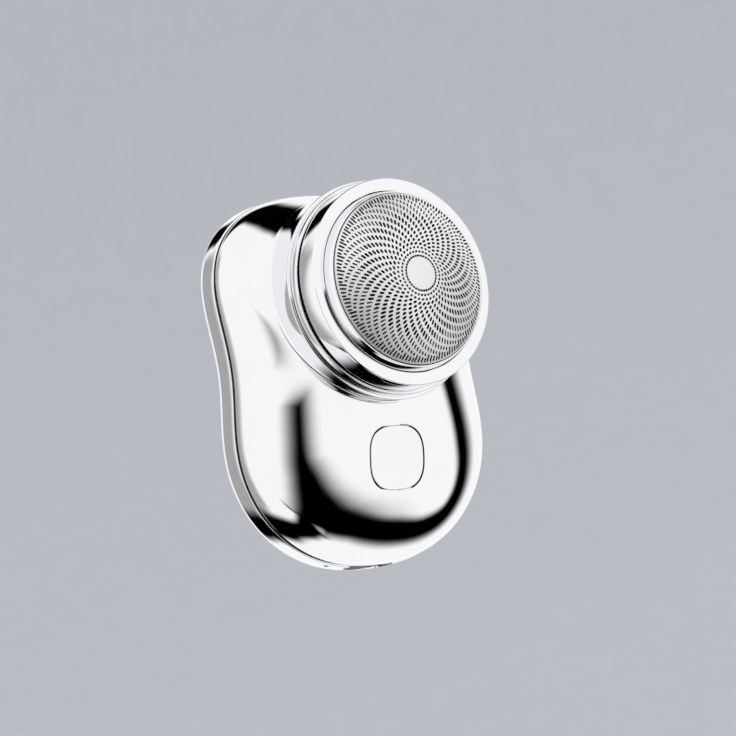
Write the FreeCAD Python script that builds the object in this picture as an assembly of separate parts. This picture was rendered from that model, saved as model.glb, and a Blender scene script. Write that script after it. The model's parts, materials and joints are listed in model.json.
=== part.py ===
import FreeCAD, Part

import math
import os

# Pocket rotary shaver, in millimetres. The front faces -Y, +Z is up, +X is the right side of a person
# who looks at its front. The origin is the middle of the flat on the back, where the shaver lies down.

V = FreeCAD.Vector

# ---- casing: a pebble outline seen from the front, half-width given at each height -------------------
HALF_HEIGHT = 31.6          # origin to the top, and to the bottom
SHOULDER = 27.9             # half-width that the upper lobe heads for
HIP = 26.3                  # half-width that the lower lobe heads for
LOBE_BLEND = 12.0           # height over which one goes into the other
WAIST = 4.25                # how much the waist pulls in
WAIST_Z = 3.5
WAIST_SPREAD = 15.4
TOP_POWER = 2.9             # superellipse powers: squarer at the top, rounder at the bottom
LOW_POWER = 2.3

SEAM_Y = -5.6               # front edge of the back shell
SEAM_GAP = 0.35             # seal that shows between the shells
FRONT_BASE = SEAM_Y - SEAM_GAP
RIM_STEP = 0.3              # the back shell's rim stands this proud of the front shell
WALL = 1.6
BACK_ROUND = 2.6            # radius round the back's edge

BELLY = 12.13               # how far the front bulges out of the seam plane, at its fullest
BELLY_Z = -10.0
BELLY_REACH = 58.0          # distance from there at which the bulge would come down to nothing
FRONT_POWER = 2.6           # how square the front's section is

# ---- head: everything on its axis is given by radius and by height over the ring's face ---------------
HEAD_Y = -24.9
HEAD_Z = 13.4
HEAD_TILT = 3.7             # degrees that the head looks up
RING_R = 17.5
RING_FOOT_R = 17.7
RING_DEPTH = 3.75
BEZEL_R = 15.3
BEZEL_TOP_R = 14.85
BEZEL_TOP = 1.65
FOIL_R = 14.45
FOIL_T = 0.2
FOIL_EDGE = 1.88
FOIL_PEAK = 5.64
COLLAR_TOP = -4.25
COLLAR_R = 18.1
LIP_R = 18.6
NECK_TOP = -6.3
NECK_R = 18.15
NECK_BORE_R = 15.9
DECK_R = 17.0
DECK_TOP = -5.2
DECK_FOOT = -7.2

# ---- drive -------------------------------------------------------------------------------------------
MOTOR_R = 10.2
MOTOR_REAR = -18.4
MOTOR_SCREW_X = 6.5
MAGNET_RING_R = 11.5
MAGNET_R = 1.55
BRUSH_TAB_X = 5.0
SHAFT_R = 1.0
RUNNING_GAP = 0.05
HEX_R = 2.6                 # corner radius of the six-sided driver
HEX_GAP = 0.15
BLADES = 12

# ---- button --------------------------------------------------------------------------------------------
BUTTON_Z = -14.8
BUTTON_SIDE = 10.6
BUTTON_GAP = 0.25
BUTTON_POWER = 2.8          # superellipse power of its outline
BUTTON_FLANGE = 12.6
FLANGE_TOP = -2.3           # depths below the button's face
FLANGE_FOOT = -2.9
MEMBRANE_FOOT = -3.5

# ---- charging socket -----------------------------------------------------------------------------------
PORT_Y = -4.6
PORT_WIDE = 9.3
PORT_HIGH = 3.5
LAMP_X = -7.8
LAMP_Y = -4.3
LAMP_R = 0.6

FRAME_FRONT = -10.4
FRAME_BACK = -9.4
POST_PLACES = ((-17.0, -1.5), (17.0, -1.5), (-16.2, -19.5), (16.2, -19.5))

LEAD_R = 0.4
LEAD_BEND = 0.9
LEAD_HOLE_R = 0.8
MOTOR_LEAD_X = 5.0
MOTOR_LEAD_Z = -0.6
CELL_LEAD_X = 9.0
CELL_LEAD_Z = -3.2
BOARD_TOP = -6.0
BOARD_FOOT = -23.2

OUTLINE_POLES = 96
FRONT_ROWS = 15
CAP_SHRINK = 0.1            # the pebble's rows end this far from its middle, in a flat cap inside the neck


# ---- small helpers -------------------------------------------------------------------------------------
def signed_power(value, power):
    return math.copysign(abs(value) ** power, value)


def half_width(z):
    """Half-width of the lobes and waist at height z, before the ends are rounded off."""
    blend = math.tanh(z / LOBE_BLEND)
    lobe = 0.5 * (SHOULDER + HIP) + 0.5 * (SHOULDER - HIP) * blend
    return lobe - WAIST * math.exp(-(((z - WAIST_Z) / WAIST_SPREAD) ** 2))


def outline_point(angle, inset):
    """Point of the pebble outline, drawn in by inset, as (x, z)."""
    up = math.sin(angle)
    power = TOP_POWER if up > 0 else LOW_POWER
    z = (HALF_HEIGHT - inset) * signed_power(up, 2 / power)
    x = (half_width(z) - inset) * signed_power(math.cos(angle), 2 / power)
    return x, z


def bulge(z):
    return BELLY * (1 - ((z - BELLY_Z) / BELLY_REACH) ** 2)


def bulge_slope(z):
    return -2 * BELLY * (z - BELLY_Z) / BELLY_REACH ** 2


def front_height(z):
    """Height of the front over its base plane, on the middle line."""
    out = abs(z) / (HALF_HEIGHT - RIM_STEP)
    return bulge(z) * (1 - out ** FRONT_POWER) ** (1 / FRONT_POWER)


def periodic_knots():
    return list(range(OUTLINE_POLES + 1)), [1] * (OUTLINE_POLES + 1)


def outline_face(inset, y):
    """Flat face of the pebble outline, drawn in by inset, in the plane at y."""
    poles = []
    for i in range(OUTLINE_POLES):
        x, z = outline_point(2 * math.pi * (i + 0.5) / OUTLINE_POLES, inset)
        poles.append(V(x, y, z))
    knots, mults = periodic_knots()
    curve = Part.BSplineCurve()
    curve.buildFromPolesMultsKnots(poles, mults, knots, True, 3)
    return Part.Face(Part.Wire([curve.toShape()]))


def slab(inset, y_front, y_back):
    """Plate of the pebble outline between two y planes."""
    return outline_face(inset, y_front).extrude(V(0, y_back - y_front, 0))


def pebble_front(inset, base_y):
    """Solid front of the pebble, from its flat base plane out to the bulging face."""
    last = math.acos(CAP_SHRINK ** (FRONT_POWER / 2))
    poles = []
    for i in range(OUTLINE_POLES):
        x, z = outline_point(2 * math.pi * (i + 0.5) / OUTLINE_POLES, inset + RIM_STEP)
        column = []
        for j in range(FRONT_ROWS):
            turn = last * j / (FRONT_ROWS - 1)
            shrink = math.cos(turn) ** (2 / FRONT_POWER)
            rise = math.sin(turn) ** (2 / FRONT_POWER)
            height = bulge(z * shrink) - inset + base_y - FRONT_BASE
            if j == FRONT_ROWS - 1:
                height = bulge(0) + bulge_slope(0) * z * shrink - inset + base_y - FRONT_BASE
            column.append(V(x * shrink, base_y - height * rise, z * shrink))
        poles.append(column)
    knots, mults = periodic_knots()
    row_knots = list(range(FRONT_ROWS - 2))
    row_mults = [4] + [1] * (FRONT_ROWS - 4) + [4]
    surface = Part.BSplineSurface()
    surface.buildFromPolesMultsKnots(poles, mults, row_mults, knots, row_knots, True, False, 3, 3)
    side = surface.toShape()
    faces = [side]
    for edge in side.Edges:
        if edge.isClosed():
            faces.append(Part.Face(Part.Wire([edge])))
    return closed_solid(faces)


def closed_solid(faces):
    shell = Part.makeShell(faces)
    shell.sewShape()
    solid = Part.makeSolid(Part.Shell(shell.Faces))
    if solid.Volume < 0:
        solid.reverse()
    return solid


def on_head_axis(shape):
    """Puts a shape made round the Z axis onto the head's axis."""
    place = FreeCAD.Placement(V(0, HEAD_Y, HEAD_Z), FreeCAD.Rotation(V(1, 0, 0), 90 - HEAD_TILT))
    shape.Placement = place.multiply(shape.Placement)
    return shape


def on_button_axis(shape):
    """Puts a shape made round the Z axis onto the button's axis, with z = 0 at its face."""
    rise = front_height(BUTTON_Z + 0.5) - front_height(BUTTON_Z - 0.5)
    lean = math.degrees(math.atan(rise))
    face_y = FRONT_BASE - front_height(BUTTON_Z)
    place = FreeCAD.Placement(V(0, face_y, BUTTON_Z), FreeCAD.Rotation(V(1, 0, 0), 90 + lean))
    shape.Placement = place.multiply(shape.Placement)
    return shape


def rod(radius, low, high, x=0.0, y=0.0):
    return Part.makeCylinder(radius, high - low, V(x, y, low))


def washer(outer, inner, low, high):
    return rod(outer, low, high).cut(rod(inner, low - 1, high + 1))


def turned(points):
    """Solid turned from a closed outline of (radius, height) points."""
    corners = [V(r, 0, h) for r, h in points]
    face = Part.Face(Part.makePolygon(corners + [corners[0]]))
    return face.revolve(V(0, 0, 0), V(0, 0, 1), 360)


def rod_y(radius, y_front, y_back, x, z):
    return Part.makeCylinder(radius, y_back - y_front, V(x, y_front, z), V(0, 1, 0))


def block(x0, x1, y0, y1, z0, z1):
    return Part.makeBox(x1 - x0, y1 - y0, z1 - z0, V(x0, y0, z0))


def hexagon(radius, low, high):
    corners = [V(radius * math.cos(math.radians(60 * k)), radius * math.sin(math.radians(60 * k)), low)
               for k in range(7)]
    return Part.Face(Part.makePolygon(corners)).extrude(V(0, 0, high - low))


def round_square(side, low, high):
    """Prism with the button's rounded-square outline."""
    poles = []
    for k in range(32):
        angle = 2 * math.pi * (k + 0.5) / 32
        x = 0.5 * side * signed_power(math.cos(angle), 2 / BUTTON_POWER)
        y = 0.5 * side * signed_power(math.sin(angle), 2 / BUTTON_POWER)
        poles.append(V(x, y, low))
    curve = Part.BSplineCurve()
    curve.interpolate(poles, True)
    return Part.Face(Part.Wire([curve.toShape()])).extrude(V(0, 0, high - low))


def slot_prism(wide, high, z0, z1):
    """Upright prism with round ends, centred on the charging socket."""
    r = high / 2
    reach = wide / 2 - r
    body = block(-reach, reach, PORT_Y - r, PORT_Y + r, z0, z1)
    for side in (-reach, reach):
        body = body.fuse(rod(r, z0, z1, side, PORT_Y))
    return body.removeSplitter()


def dome(radius_cut, low):
    """Ball segment under the foil's outer face, made smaller by radius_cut."""
    ball_r = (FOIL_R ** 2 + (FOIL_PEAK - FOIL_EDGE) ** 2) / (2 * (FOIL_PEAK - FOIL_EDGE))
    ball = Part.makeSphere(ball_r - radius_cut, V(0, 0, FOIL_PEAK - ball_r))
    return ball.common(rod(FOIL_R + 1, low, FOIL_PEAK + 1))


def together(shapes):
    whole = shapes[0]
    for shape in shapes[1:]:
        whole = whole.fuse(shape)
    return whole.removeSplitter()


# ---- casing --------------------------------------------------------------------------------------------
def tongue_band(play):
    """Band that the back shell's tongue fills inside the front shell, made wider by the play."""
    outer = slab(RIM_STEP + WALL + 0.2 - play, SEAM_Y - 1.0 - play, SEAM_Y)
    return outer.cut(slab(RIM_STEP + WALL + 1.0 + play, SEAM_Y - 2, SEAM_Y + 1))


def front_shell():
    outer = pebble_front(0.0, FRONT_BASE)
    neck = on_head_axis(rod(NECK_R, MOTOR_REAR, NECK_TOP))
    shell = outer.fuse(neck.cut(slab(0.0, FRONT_BASE, 0.0)))
    shell = shell.cut(pebble_front(WALL, FRONT_BASE + 0.5))
    shell = shell.cut(on_head_axis(rod(NECK_BORE_R, MOTOR_REAR, NECK_TOP + 1)))
    shell = shell.cut(tongue_band(0.1))
    shell = shell.cut(on_head_axis(rod(DECK_R + RUNNING_GAP, DECK_FOOT, NECK_TOP + 1)))
    for x, z in POST_PLACES:
        shell = shell.fuse(rod_y(1.8, -20.0, FRAME_FRONT, x, z).common(pebble_front(WALL / 2, FRONT_BASE)))
        shell = shell.cut(rod_y(0.8, -12.3, FRAME_FRONT + 1, x, z))
    frame = round_square(BUTTON_FLANGE + 2.8, FLANGE_FOOT - 0.05, -1.4)
    frame = frame.cut(round_square(BUTTON_FLANGE + 0.6, -4.0, 0.0))
    shell = shell.fuse(on_button_axis(frame))
    shell = shell.cut(on_button_axis(round_square(BUTTON_SIDE + 2 * BUTTON_GAP, -4.0, 3.0)))
    return shell.cut(slot_prism(PORT_WIDE, PORT_HIGH, -40.0, -20.0)).removeSplitter()


def back_shell():
    body = slab(0.0, SEAM_Y, 0.0)
    rear = [edge for edge in body.Edges if edge.BoundBox.YMin > -0.01]
    body = body.makeFillet(BACK_ROUND, rear)
    body = body.cut(slab(WALL, SEAM_Y - 1, -WALL))
    root = slab(WALL / 2, SEAM_Y, SEAM_Y + 2.0).cut(slab(RIM_STEP + WALL + 1.0, SEAM_Y - 2, SEAM_Y + 3))
    body = body.fuse(tongue_band(0.0)).fuse(root)
    body = body.cut(slot_prism(PORT_WIDE, PORT_HIGH, -40.0, -20.0))
    return body.cut(rod(LAMP_R + 0.05, -40, -20, LAMP_X, LAMP_Y)).removeSplitter()


def shell_seal():
    ring = slab(RIM_STEP + 0.35, FRONT_BASE, SEAM_Y)
    ring = ring.cut(slab(RIM_STEP + WALL - 0.05, SEAM_Y - 1, SEAM_Y + 1))
    return ring.cut(slot_prism(PORT_WIDE, PORT_HIGH, -40.0, -20.0))


def collar_ring():
    return on_head_axis(turned([
        (DECK_R + RUNNING_GAP, COLLAR_TOP), (COLLAR_R - 0.35, COLLAR_TOP), (COLLAR_R, COLLAR_TOP - 0.2),
        (COLLAR_R, -5.7), (COLLAR_R - 0.35, -5.72), (COLLAR_R - 0.35, -5.88), (LIP_R - 0.12, -5.9),
        (LIP_R, -6.02), (LIP_R, -6.2), (LIP_R - 0.1, NECK_TOP), (DECK_R + RUNNING_GAP, NECK_TOP)]))


# ---- motor and deck ------------------------------------------------------------------------------------
def magnet_places():
    angles = [math.radians(a) for a in (90, 210, 330)]
    return [(MAGNET_RING_R * math.cos(a), MAGNET_RING_R * math.sin(a)) for a in angles]


def motor_deck():
    plate = rod(DECK_R, DECK_FOOT, DECK_TOP).cut(rod(3.2, DECK_FOOT - 1, DECK_TOP + 1))
    for x, y in magnet_places():
        plate = plate.cut(rod(MAGNET_R + 0.05, DECK_TOP - 1.4, DECK_TOP + 1, x, y))
    for x in (-MOTOR_SCREW_X, MOTOR_SCREW_X):
        plate = plate.cut(rod(0.9, DECK_FOOT - 1, DECK_TOP + 1, x))
        plate = plate.cut(rod(1.8, DECK_TOP - 1.1, DECK_TOP + 1, x))
    return on_head_axis(plate)


def deck_magnets():
    magnets = [rod(MAGNET_R, DECK_TOP - 1.35, DECK_TOP - 0.05, x, y) for x, y in magnet_places()]
    return on_head_axis(Part.makeCompound(magnets))


def motor_screws():
    screws = []
    for x in (-MOTOR_SCREW_X, MOTOR_SCREW_X):
        socket = hexagon(0.6, -0.4, 0.1).translate(V(x, 0, DECK_TOP - 0.3))
        head = rod(1.6, DECK_TOP - 1.1, DECK_TOP - 0.3, x).cut(socket)
        screws.append(head.fuse(rod(0.85, DECK_FOOT - 0.75, DECK_TOP - 1.1, x)).removeSplitter())
    return on_head_axis(Part.makeCompound(screws))


def shaft_seal():
    return on_head_axis(turned([
        (SHAFT_R + RUNNING_GAP, -5.3), (3.15, -5.3), (3.15, -6.1), (1.6, -6.1), (1.6, -5.7),
        (SHAFT_R + RUNNING_GAP, -5.6)]))


def motor_can():
    can = rod(MOTOR_R, MOTOR_REAR, DECK_FOOT).fuse(rod(3.0, DECK_FOOT, -6.2))
    can = can.cut(rod(MOTOR_R - 0.6, MOTOR_REAR - 1, DECK_FOOT - 0.8))
    can = can.cut(rod(SHAFT_R + RUNNING_GAP, MOTOR_REAR, -6.0))
    for x in (-MOTOR_SCREW_X, MOTOR_SCREW_X):
        can = can.cut(rod(0.85, DECK_FOOT - 1, DECK_FOOT + 1, x))
    return on_head_axis(can.removeSplitter())


def motor_endcap():
    cap = rod(MOTOR_R, MOTOR_REAR - 1.2, MOTOR_REAR)
    cap = cap.cut(rod(SHAFT_R + RUNNING_GAP, MOTOR_REAR - 0.6, MOTOR_REAR + 1))
    for x in (-BRUSH_TAB_X, BRUSH_TAB_X):
        tab = Part.makeBox(1.8, 0.4, 1.2, V(x - 0.9, -0.2, MOTOR_REAR - 2.4))
        cap = cap.fuse(tab)
    return on_head_axis(cap.removeSplitter())


def motor_armature():
    core = rod(8.8, -17.0, -9.2).cut(rod(SHAFT_R, -20, 0))
    for k in range(3):
        slot = Part.makeBox(9, 1.6, 20, V(3.2, -0.8, -25))
        slot.rotate(V(0, 0, 0), V(0, 0, 1), 120 * k)
        core = core.cut(slot)
    return on_head_axis(core)


def motor_shaft():
    return on_head_axis(rod(SHAFT_R, MOTOR_REAR - 0.5, -2.2))


def drive_coupling():
    return on_head_axis(hexagon(HEX_R, -4.7, -1.4).cut(rod(SHAFT_R, -6, -2.2)))


# ---- head ----------------------------------------------------------------------------------------------
def head_ring():
    foot = -RING_DEPTH
    return on_head_axis(turned([
        (BEZEL_R + 0.08, -0.12), (BEZEL_R + 0.2, 0.0), (RING_R - 0.25, 0.0), (RING_R - 0.07, -0.07),
        (RING_R, -0.25), (RING_FOOT_R, foot + 0.2), (RING_FOOT_R - 0.2, foot), (16.25, foot),
        (16.25, -1.5), (BEZEL_R + 0.08, -1.5)]))


def foil_bezel():
    return on_head_axis(turned([
        (14.6, BEZEL_TOP - 0.12), (14.68, BEZEL_TOP), (BEZEL_TOP_R - 0.08, BEZEL_TOP),
        (BEZEL_TOP_R, BEZEL_TOP - 0.1), (BEZEL_R, 0.0), (BEZEL_R, -1.55), (16.1, -1.55), (16.1, -2.3),
        (14.6, -2.3)]))


def foil():
    skin = dome(0.0, FOIL_EDGE - 0.4).common(rod(FOIL_R, -1, 10))
    skin = skin.cut(dome(FOIL_T, 0.0))
    skirt = washer(FOIL_R, FOIL_R - FOIL_T, -2.5, FOIL_EDGE - 0.1)
    flange = washer(16.0, FOIL_R - FOIL_T, -2.5, -2.35)
    return on_head_axis(together([skin, skirt, flange]))


def hair_chamber():
    return on_head_axis(turned([
        (3.2, -4.55), (3.2, -3.95), (15.3, -3.95), (15.3, -2.6), (16.15, -2.6), (16.15, -3.8),
        (16.85, -3.8), (16.85, -5.0), (16.1, -5.0), (16.1, -4.55)]))


def keeper_ring():
    return on_head_axis(washer(13.5, 9.5, -5.05, -4.56))


def cutter_hub():
    hub = together([rod(6.0, -0.8, 0.0), rod(3.8, -3.2, -0.8), rod(3.0, 0.0, 1.6)])
    hub = hub.cut(hexagon(HEX_R + HEX_GAP, -4.0, -0.9))
    return on_head_axis(hub.cut(rod(1.8, -1.0, 0.95)))


def cutter_blades():
    disc = rod(13.3, 0.02, 0.8)
    fins = []
    for k in range(BLADES):
        fin = Part.makeBox(10.2, 0.45, 8.0, V(3.4, -1.2, 0.5))
        fin.rotate(V(0, 0, 0), V(0, 0, 1), 360 * k / BLADES)
        fins.append(fin)
        hole = rod(1.5, -1, 2, 9.6, 1.0)
        hole.rotate(V(0, 0, 0), V(0, 0, 1), 360 * (k + 0.5) / BLADES)
        disc = disc.cut(hole)
    under_foil = dome(FOIL_T + 0.12, 0.5).common(rod(13.6, 0, 8))
    rotor = together([disc] + [fin.common(under_foil) for fin in fins])
    return on_head_axis(rotor.cut(rod(3.02, -1, 8)))


def cutter_spring():
    wire_r = 0.16
    helix = Part.makeHelix(0.55, 1.9, 1.35)
    profile = Part.Wire([Part.Circle(V(1.35, 0, 0), V(0, 1, 0), wire_r).toShape()])
    coil = Part.Wire(helix).makePipeShell([profile], True, True)
    coil.translate(V(0, 0, -1.2))
    return on_head_axis(coil)


# ---- button --------------------------------------------------------------------------------------------
def power_button():
    cap = on_button_axis(round_square(BUTTON_SIDE, FLANGE_TOP - 0.1, 3.0))
    cap = cap.common(pebble_front(0.0, FRONT_BASE))
    flange = on_button_axis(round_square(BUTTON_FLANGE, FLANGE_FOOT, FLANGE_TOP))
    return cap.fuse(flange).removeSplitter()


def button_membrane():
    return on_button_axis(round_square(BUTTON_FLANGE + 2.4, MEMBRANE_FOOT, FLANGE_FOOT - 0.05))


def button_switch():
    body = block(-2.3, 2.3, -13.2, FRAME_FRONT - 1.0, BUTTON_Z - 2.3, BUTTON_Z + 2.3)
    return body.fuse(rod_y(1.0, -13.5, -13.2, 0, BUTTON_Z)).removeSplitter()


# ---- chassis and electrics -----------------------------------------------------------------------------
def inner_frame():
    plate = slab(4.0, FRAME_FRONT, FRAME_BACK).common(block(-40, 40, -30, 0, -40, HEAD_Z - 1))
    plate = plate.common(pebble_front(WALL + 0.3, FRONT_BASE))
    tray = block(-14.2, 14.2, FRAME_BACK - 0.2, -3.2, -23.5, -5.1)
    tray = tray.cut(block(-13.2, 13.2, FRAME_BACK, 0, -22.5, -6.1))
    frame = plate.fuse(tray)
    for x in (-5.5, 5.5):
        frame = frame.fuse(rod_y(1.0, FRAME_BACK - 0.2, -7.1, x, -25.2))
    frame = frame.cut(on_head_axis(rod(MOTOR_R + 0.2, -30, 0)))
    for x, z in POST_PLACES:
        frame = frame.cut(rod_y(0.9, -20, 0, x, z))
    for side in (-1, 1):
        frame = frame.cut(rod_y(LEAD_HOLE_R, -20, 0, side * MOTOR_LEAD_X, MOTOR_LEAD_Z))
        frame = frame.cut(rod_y(LEAD_HOLE_R, -20, 0, side * CELL_LEAD_X, CELL_LEAD_Z))
        frame = frame.cut(rod(LEAD_HOLE_R, -8.0, 0.0, side * CELL_LEAD_X, -6.5))
    return frame.removeSplitter()


def frame_screws():
    screws = []
    for x, z in POST_PLACES:
        slot = block(x - 1, x + 1, FRAME_BACK + 0.5, 0, z - 0.2, z + 0.2)
        head = rod_y(1.5, FRAME_BACK, FRAME_BACK + 0.9, x, z).cut(slot)
        screws.append(head.fuse(rod_y(0.79, -12.2, FRAME_BACK, x, z)).removeSplitter())
    return Part.makeCompound(screws)


def battery_cell():
    cell = block(-12.9, 12.9, FRAME_BACK + 0.05, -3.5, -22.2, -6.4)
    upright = [edge for edge in cell.Edges if edge.BoundBox.XLength > 20 and edge.BoundBox.YLength < 0.01]
    return cell.makeFillet(1.4, upright)


def main_board():
    board = block(-12.0, 12.0, FRAME_FRONT - 1.0, FRAME_FRONT, BOARD_FOOT, BOARD_TOP)
    for x, z, wide, high in ((-7.5, -11.0, 4.0, 4.0), (7.5, -11.5, 3.0, 4.6), (-7.0, -19.5, 3.2, 2.4)):
        board = board.fuse(block(x - wide / 2, x + wide / 2, -12.2, -11.3, z - high / 2, z + high / 2))
    return board.removeSplitter()


def lead(points):
    """Round wire along straight runs joined by tangent arcs."""
    path = []
    start = points[0]
    for before, corner, after in zip(points, points[1:], points[2:]):
        into = (corner - before).normalize()
        out = (after - corner).normalize()
        first = corner - into * LEAD_BEND
        last = corner + out * LEAD_BEND
        middle = corner + (out - into) * (LEAD_BEND * (1 - math.sqrt(0.5)))
        path.append(Part.LineSegment(start, first).toShape())
        path.append(Part.Arc(first, middle, last).toShape())
        start = last
    path.append(Part.LineSegment(start, points[-1]).toShape())
    section = Part.Wire([Part.Circle(points[0], points[1] - points[0], LEAD_R).toShape()])
    return Part.Wire(path).makePipeShell([section], True, True)


def motor_leads():
    front = FRAME_FRONT - 0.5
    leads = []
    for side in (-1, 1):
        x = side * MOTOR_LEAD_X
        leads.append(lead([V(x, -3.9, 11.0), V(x, -3.9, MOTOR_LEAD_Z), V(x, front, MOTOR_LEAD_Z),
                           V(x, front, BOARD_TOP)]))
    return Part.makeCompound(leads)


def battery_leads():
    front = FRAME_FRONT - 0.5
    leads = []
    for side in (-1, 1):
        x = side * CELL_LEAD_X
        leads.append(lead([V(x, -6.5, -6.38), V(x, -6.5, CELL_LEAD_Z), V(x, front, CELL_LEAD_Z),
                           V(x, front, BOARD_TOP)]))
    return Part.makeCompound(leads)


def usb_board():
    return block(-6.6, 6.6, -7.1, -6.3, -27.9, -23.9)


def usb_socket():
    sleeve = slot_prism(8.94, 3.26, -31.1, -23.8)
    mouth = slot_prism(8.34, 2.66, -32.0, -24.6)
    tongue = block(-3.35, 3.35, PORT_Y - 0.35, PORT_Y + 0.35, -30.4, -24.4)
    return sleeve.cut(mouth).fuse(tongue).removeSplitter()


def charge_light():
    low = -HALF_HEIGHT * (1 - (abs(LAMP_X) / HIP) ** LOW_POWER) ** (1 / LOW_POWER)
    return rod(LAMP_R, low + 0.1, low + 3.4, LAMP_X, LAMP_Y)


MAKERS = (
    front_shell, back_shell, shell_seal, collar_ring, motor_deck, deck_magnets, motor_screws, shaft_seal,
    motor_can, motor_endcap, motor_armature, motor_shaft, drive_coupling, head_ring, foil_bezel, foil,
    hair_chamber, keeper_ring, cutter_hub, cutter_blades, cutter_spring, power_button, button_membrane,
    button_switch, inner_frame, frame_screws, battery_cell, battery_leads, motor_leads, main_board,
    usb_board, usb_socket, charge_light)

os.makedirs("parts", exist_ok=True)
for make in MAKERS:
    solid = make()
    solid.exportStep("parts/" + make.__name__ + ".step")
    print(f"{make.__name__:16s} valid {solid.isValid()} solids {len(solid.Solids)} mm3 {solid.Volume:8.1f}")
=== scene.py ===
# %% [markdown]
# # A pocket rotary shaver in mirror chrome
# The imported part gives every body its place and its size. This script builds the pieces that show as
# smooth meshes of their own, gives every piece a finish, and lights the whole as polished metal is lit:
# with white panels to shine in it and black panels to draw its shape.

import json
import math

import bmesh
import bpy
import numpy as np
from mathutils import Matrix, Vector
from mathutils.geometry import delaunay_2d_cdt


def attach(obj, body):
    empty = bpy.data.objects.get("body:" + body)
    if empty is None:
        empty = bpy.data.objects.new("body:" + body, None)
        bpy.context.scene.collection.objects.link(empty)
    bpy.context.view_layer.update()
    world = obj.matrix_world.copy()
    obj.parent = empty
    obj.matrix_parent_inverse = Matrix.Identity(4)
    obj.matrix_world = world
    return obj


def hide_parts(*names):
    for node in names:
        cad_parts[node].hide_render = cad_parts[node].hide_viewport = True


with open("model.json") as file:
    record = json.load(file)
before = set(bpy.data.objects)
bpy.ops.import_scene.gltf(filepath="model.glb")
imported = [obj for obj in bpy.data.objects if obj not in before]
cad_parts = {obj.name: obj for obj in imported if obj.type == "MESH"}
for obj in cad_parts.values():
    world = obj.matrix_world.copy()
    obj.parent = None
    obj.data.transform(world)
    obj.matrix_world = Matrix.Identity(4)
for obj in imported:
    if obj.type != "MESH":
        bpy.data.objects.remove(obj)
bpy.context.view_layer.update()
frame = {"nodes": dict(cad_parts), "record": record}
MM = 0.001

# %% [markdown]
# ## The shape of the casing
# On the real shaver the casing is a pebble with a waist, moulded in two shells and plated. Two soft
# lobes blended by a tanh, minus a bell curve for the waist, give its half-width, and a superellipse
# rounds the ends. A formula is better here than a sculpted mesh, because it also gives exact normals,
# and a mirror shows every small error in a normal. All lengths are in millimetres until a mesh is made.

# %% Casing dimensions
HALF_HEIGHT = 31.6
SHOULDER, HIP, LOBE_BLEND = 27.9, 26.3, 12.0
WAIST, WAIST_Z, WAIST_SPREAD = 4.25, 3.5, 15.4
TOP_POWER, LOW_POWER = 2.9, 2.3
SEAM_Y, SEAM_GAP, RIM_STEP = -5.6, 0.35, 0.3
FRONT_BASE = SEAM_Y - SEAM_GAP
WALL, BACK_ROUND = 1.6, 2.6
BELLY, BELLY_Z, BELLY_REACH, FRONT_POWER = 12.13, -10.0, 58.0, 2.6


def half_width(z):
    """Half-width of the lobes and waist at height z, before the ends are rounded off."""
    lobe = 0.5 * (SHOULDER + HIP) + 0.5 * (SHOULDER - HIP) * np.tanh(z / LOBE_BLEND)
    return lobe - WAIST * np.exp(-(((z - WAIST_Z) / WAIST_SPREAD) ** 2))


def outline_share(x, z, inset):
    """How far out (x, z) is: 0 in the middle, 1 on the pebble outline drawn in by inset."""
    power = np.where(z > 0, TOP_POWER, LOW_POWER)
    across = np.abs(x) / (half_width(z) - inset)
    along = np.abs(z) / (HALF_HEIGHT - inset)
    return (across ** power + along ** power) ** (1 / power)


def front_y(x, z, inset=0.0):
    """Where the front's skin is, drawn in by inset, over the point (x, z)."""
    share = np.minimum(outline_share(x, z, inset + RIM_STEP), 1.0)
    bulge = BELLY * (1 - ((z - BELLY_Z) / BELLY_REACH) ** 2) - inset
    return FRONT_BASE - bulge * (1 - share ** FRONT_POWER) ** (1 / FRONT_POWER)


def front_normal(x, z, inset=0.0):
    """Unit normal of the front's skin, worked out from the slope of its implicit form."""
    def level(x, y, z):
        share = outline_share(x, z, inset + RIM_STEP)
        bulge = BELLY * (1 - ((z - BELLY_Z) / BELLY_REACH) ** 2) - inset
        return share ** FRONT_POWER + (np.maximum(FRONT_BASE - y, 0) / bulge) ** FRONT_POWER
    y = front_y(x, z, inset)
    step = 1e-4
    slope = np.stack([level(x + step, y, z) - level(x - step, y, z),
                      level(x, y + step, z) - level(x, y - step, z),
                      level(x, y, z + step) - level(x, y, z - step)], axis=-1)
    return slope / np.linalg.norm(slope, axis=-1, keepdims=True)


print("front at the belly: %.2f mm" % front_y(np.array(0.0), np.array(BELLY_Z)))

# %% [markdown]
# ## Mesh helpers
# Three forms make nearly every piece: a grid whose rows close on themselves, a profile turned round an
# axis, and a boolean cut. Every mesh is closed, so that it could be made, and an edge turns sharp only
# where two faces meet at a real angle.

# %% Mesh helpers
SHARP = math.radians(32)


def add_piece(name, points, faces, material, body, nodes=()):
    """A closed mesh from points in millimetres, riding on a body and standing for CAD nodes."""
    mesh = bpy.data.meshes.new(name)
    mesh.from_pydata((np.asarray(points, float) * MM).tolist(), [], faces)
    shape = bmesh.new()
    shape.from_mesh(mesh)
    bmesh.ops.recalc_face_normals(shape, faces=shape.faces)
    shape.to_mesh(mesh)
    shape.free()
    piece = bpy.data.objects.new(name, mesh)
    bpy.context.scene.collection.objects.link(piece)
    smooth(piece)
    mesh.materials.append(material)
    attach(piece, body)
    if nodes:
        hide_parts(*nodes)
    print(f"{name}: {len(mesh.polygons)} faces")
    return piece


def smooth(piece):
    """Shades smooth, but for the edges that really are edges."""
    piece.data.shade_smooth()
    piece.data.set_sharp_from_angle(angle=SHARP)


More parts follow.
